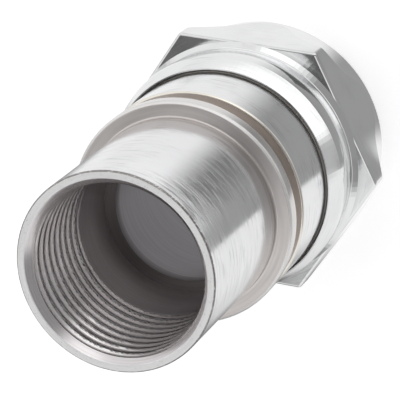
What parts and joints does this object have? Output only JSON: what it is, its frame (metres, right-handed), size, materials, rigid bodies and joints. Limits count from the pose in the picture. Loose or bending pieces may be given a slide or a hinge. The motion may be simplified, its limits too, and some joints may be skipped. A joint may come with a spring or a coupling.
{
  "type": "f connector",
  "caption": "Twist-on coaxial F connector: a turned barrel that threads onto a cable, with a captive hex coupling nut that spins on its front end.",
  "frame": {"origin": "centre of the nut's front face, on which the connector stands", "axes": "+Z along the connector's axis, from the nut towards the cable mouth; a corner of the hexagon lies on +X"},
  "size_m": [0.0128, 0.011, 0.0184],
  "materials": {
    "body_nickel": "nickel plate over turned brass, fine turning marks",
    "nut_nickel": "nickel plate over turned brass, smooth"
  },
  "bodies": {
    "body": {"cable_body": "body_nickel"},
    "nut": {"coupling_nut": "nut_nickel"}
  },
  "joints": [
    {"name": "nut_spin", "type": "hinge", "parent": "body", "child": "nut", "pos_m": [0, 0, 0.0053], "axis": [0, 0, 1], "continuous": true}
  ]
}
